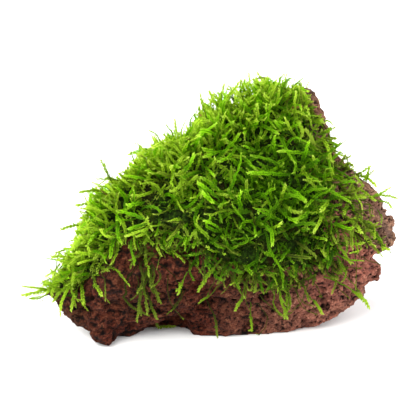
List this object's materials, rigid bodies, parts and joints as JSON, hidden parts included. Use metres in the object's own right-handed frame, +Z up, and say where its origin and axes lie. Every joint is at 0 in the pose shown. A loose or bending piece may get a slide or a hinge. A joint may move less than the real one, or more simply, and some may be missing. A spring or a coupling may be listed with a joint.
{
  "type": "moss covered stone",
  "caption": "Craggy lump of porous red lava stone with a shaggy cushion of java moss over its sloping upper side, trailing over its front edge.",
  "frame": {"origin": "on the resting plane, at the middle of the overall length and depth", "axes": "+X to the right along the length, from the low pointed toe to the high shoulder; +Y to the back; +Z up"},
  "size_m": [0.1206, 0.0648, 0.076],
  "materials": {
    "stone": "rough, porous, matt, dark red-brown",
    "moss": "soft leafy shoots with a slight wet sheen, bright yellow-green tips over dark green"
  },
  "bodies": {
    "root": {"lava_stone": "stone", "moss_cushion": "moss"}
  },
  "joints": []
}
